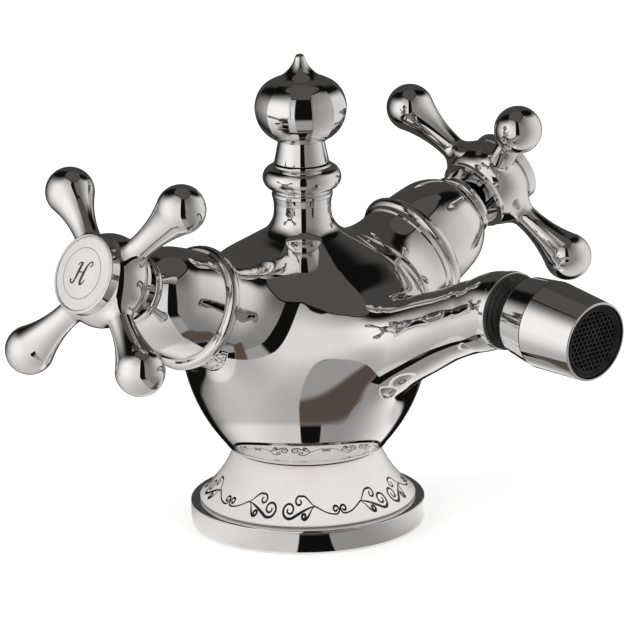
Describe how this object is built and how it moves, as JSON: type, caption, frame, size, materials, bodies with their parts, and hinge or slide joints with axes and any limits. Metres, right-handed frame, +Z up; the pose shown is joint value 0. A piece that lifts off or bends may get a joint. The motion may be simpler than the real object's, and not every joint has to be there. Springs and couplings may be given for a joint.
{
  "type": "bidet mixer",
  "caption": "Deck-mounted bidet mixer with cross handles, a swivelling spout nozzle, a porcelain base and an onion-shaped lift knob.",
  "frame": {"origin": "centre of the base ring's bore in the plane of its underside, where the mixer stands on the deck", "axes": "+Z up from the deck, -Y along the spout, -X towards the hot handle"},
  "size_m": [0.1866, 0.1565, 0.1411],
  "materials": {
    "chromed_brass": "polished",
    "bare_brass": "machined",
    "porcelain": "glazed, with a black scroll band",
    "index_enamel": "glossy",
    "valve_ceramic": "lapped",
    "black_rubber": "matt",
    "bearing_plastic": "moulded",
    "black_plastic": "moulded",
    "steel": "plain"
  },
  "bodies": {
    "fixed": {"base_ring": "chromed_brass", "base_gasket": "black_rubber", "ring_washer": "black_rubber", "porcelain_base": "porcelain", "porcelain_washer": "black_rubber", "body_casting": "chromed_brass", "top_collar": "chromed_brass", "rod_bush": "bearing_plastic", "rod_o_ring": "black_rubber", "rod_lower_bush": "bearing_plastic", "ball_nipple": "chromed_brass", "nipple_o_ring": "black_rubber", "hot_valve_body": "bare_brass", "hot_fixed_disc": "valve_ceramic", "hot_seat_seal": "black_rubber", "hot_valve_o_ring": "black_rubber", "hot_dome": "chromed_brass", "hot_dome_nut": "chromed_brass", "cold_valve_body": "bare_brass", "cold_fixed_disc": "valve_ceramic", "cold_seat_seal": "black_rubber", "cold_valve_o_ring": "black_rubber", "cold_dome": "chromed_brass", "cold_dome_nut": "chromed_brass"},
    "hot_control": {"hot_handle": "chromed_brass", "hot_spindle": "bare_brass", "hot_spindle_o_rings": "black_rubber", "hot_circlip": "steel", "hot_moving_disc": "valve_ceramic", "hot_handle_screw": "steel", "hot_index_bezel": "chromed_brass", "hot_index_disc": "index_enamel"},
    "cold_control": {"cold_handle": "chromed_brass", "cold_spindle": "bare_brass", "cold_spindle_o_rings": "black_rubber", "cold_circlip": "steel", "cold_moving_disc": "valve_ceramic", "cold_handle_screw": "steel", "cold_index_bezel": "chromed_brass", "cold_index_disc": "index_enamel"},
    "lift_knob": {"finial_knob": "chromed_brass", "knob_stem": "chromed_brass", "lift_rod": "bare_brass"},
    "nozzle_pitch_ring": {"swivel_liner": "bearing_plastic"},
    "nozzle_yaw_ring": {"seat_washer": "bearing_plastic"},
    "nozzle": {"socket_nut": "chromed_brass", "nozzle_housing": "chromed_brass", "aerator_seal": "black_rubber", "flow_screen": "black_plastic", "aerator_insert": "black_plastic"}
  },
  "joints": [
    {"name": "hot_handle_turn", "type": "hinge", "parent": "fixed", "child": "hot_control", "pos_m": [0, 0, 0.0537], "axis": [-0.9092, 0, 0.4163], "range_deg": [0, 90]},
    {"name": "cold_handle_turn", "type": "hinge", "parent": "fixed", "child": "cold_control", "pos_m": [0, 0, 0.0537], "axis": [-0.9092, 0, -0.4163], "range_deg": [0, 90]},
    {"name": "knob_lift", "type": "slide", "parent": "fixed", "child": "lift_knob", "axis": [0, 0, 1], "range_m": [0, 0.025]},
    {"name": "nozzle_pitch", "type": "hinge", "parent": "fixed", "child": "nozzle_pitch_ring", "pos_m": [0, -0.0965, 0.0804], "axis": [1, 0, 0], "range_deg": [-17, 12]},
    {"name": "nozzle_yaw", "type": "hinge", "parent": "nozzle_pitch_ring", "child": "nozzle_yaw_ring", "pos_m": [0, -0.0965, 0.0804], "axis": [0, -0.0854, 0.9963], "range_deg": [-15, 15]},
    {"name": "nozzle_spin", "type": "hinge", "parent": "nozzle_yaw_ring", "child": "nozzle", "pos_m": [0, -0.0965, 0.0804], "axis": [0, -0.9963, -0.0854], "continuous": true}
  ]
}
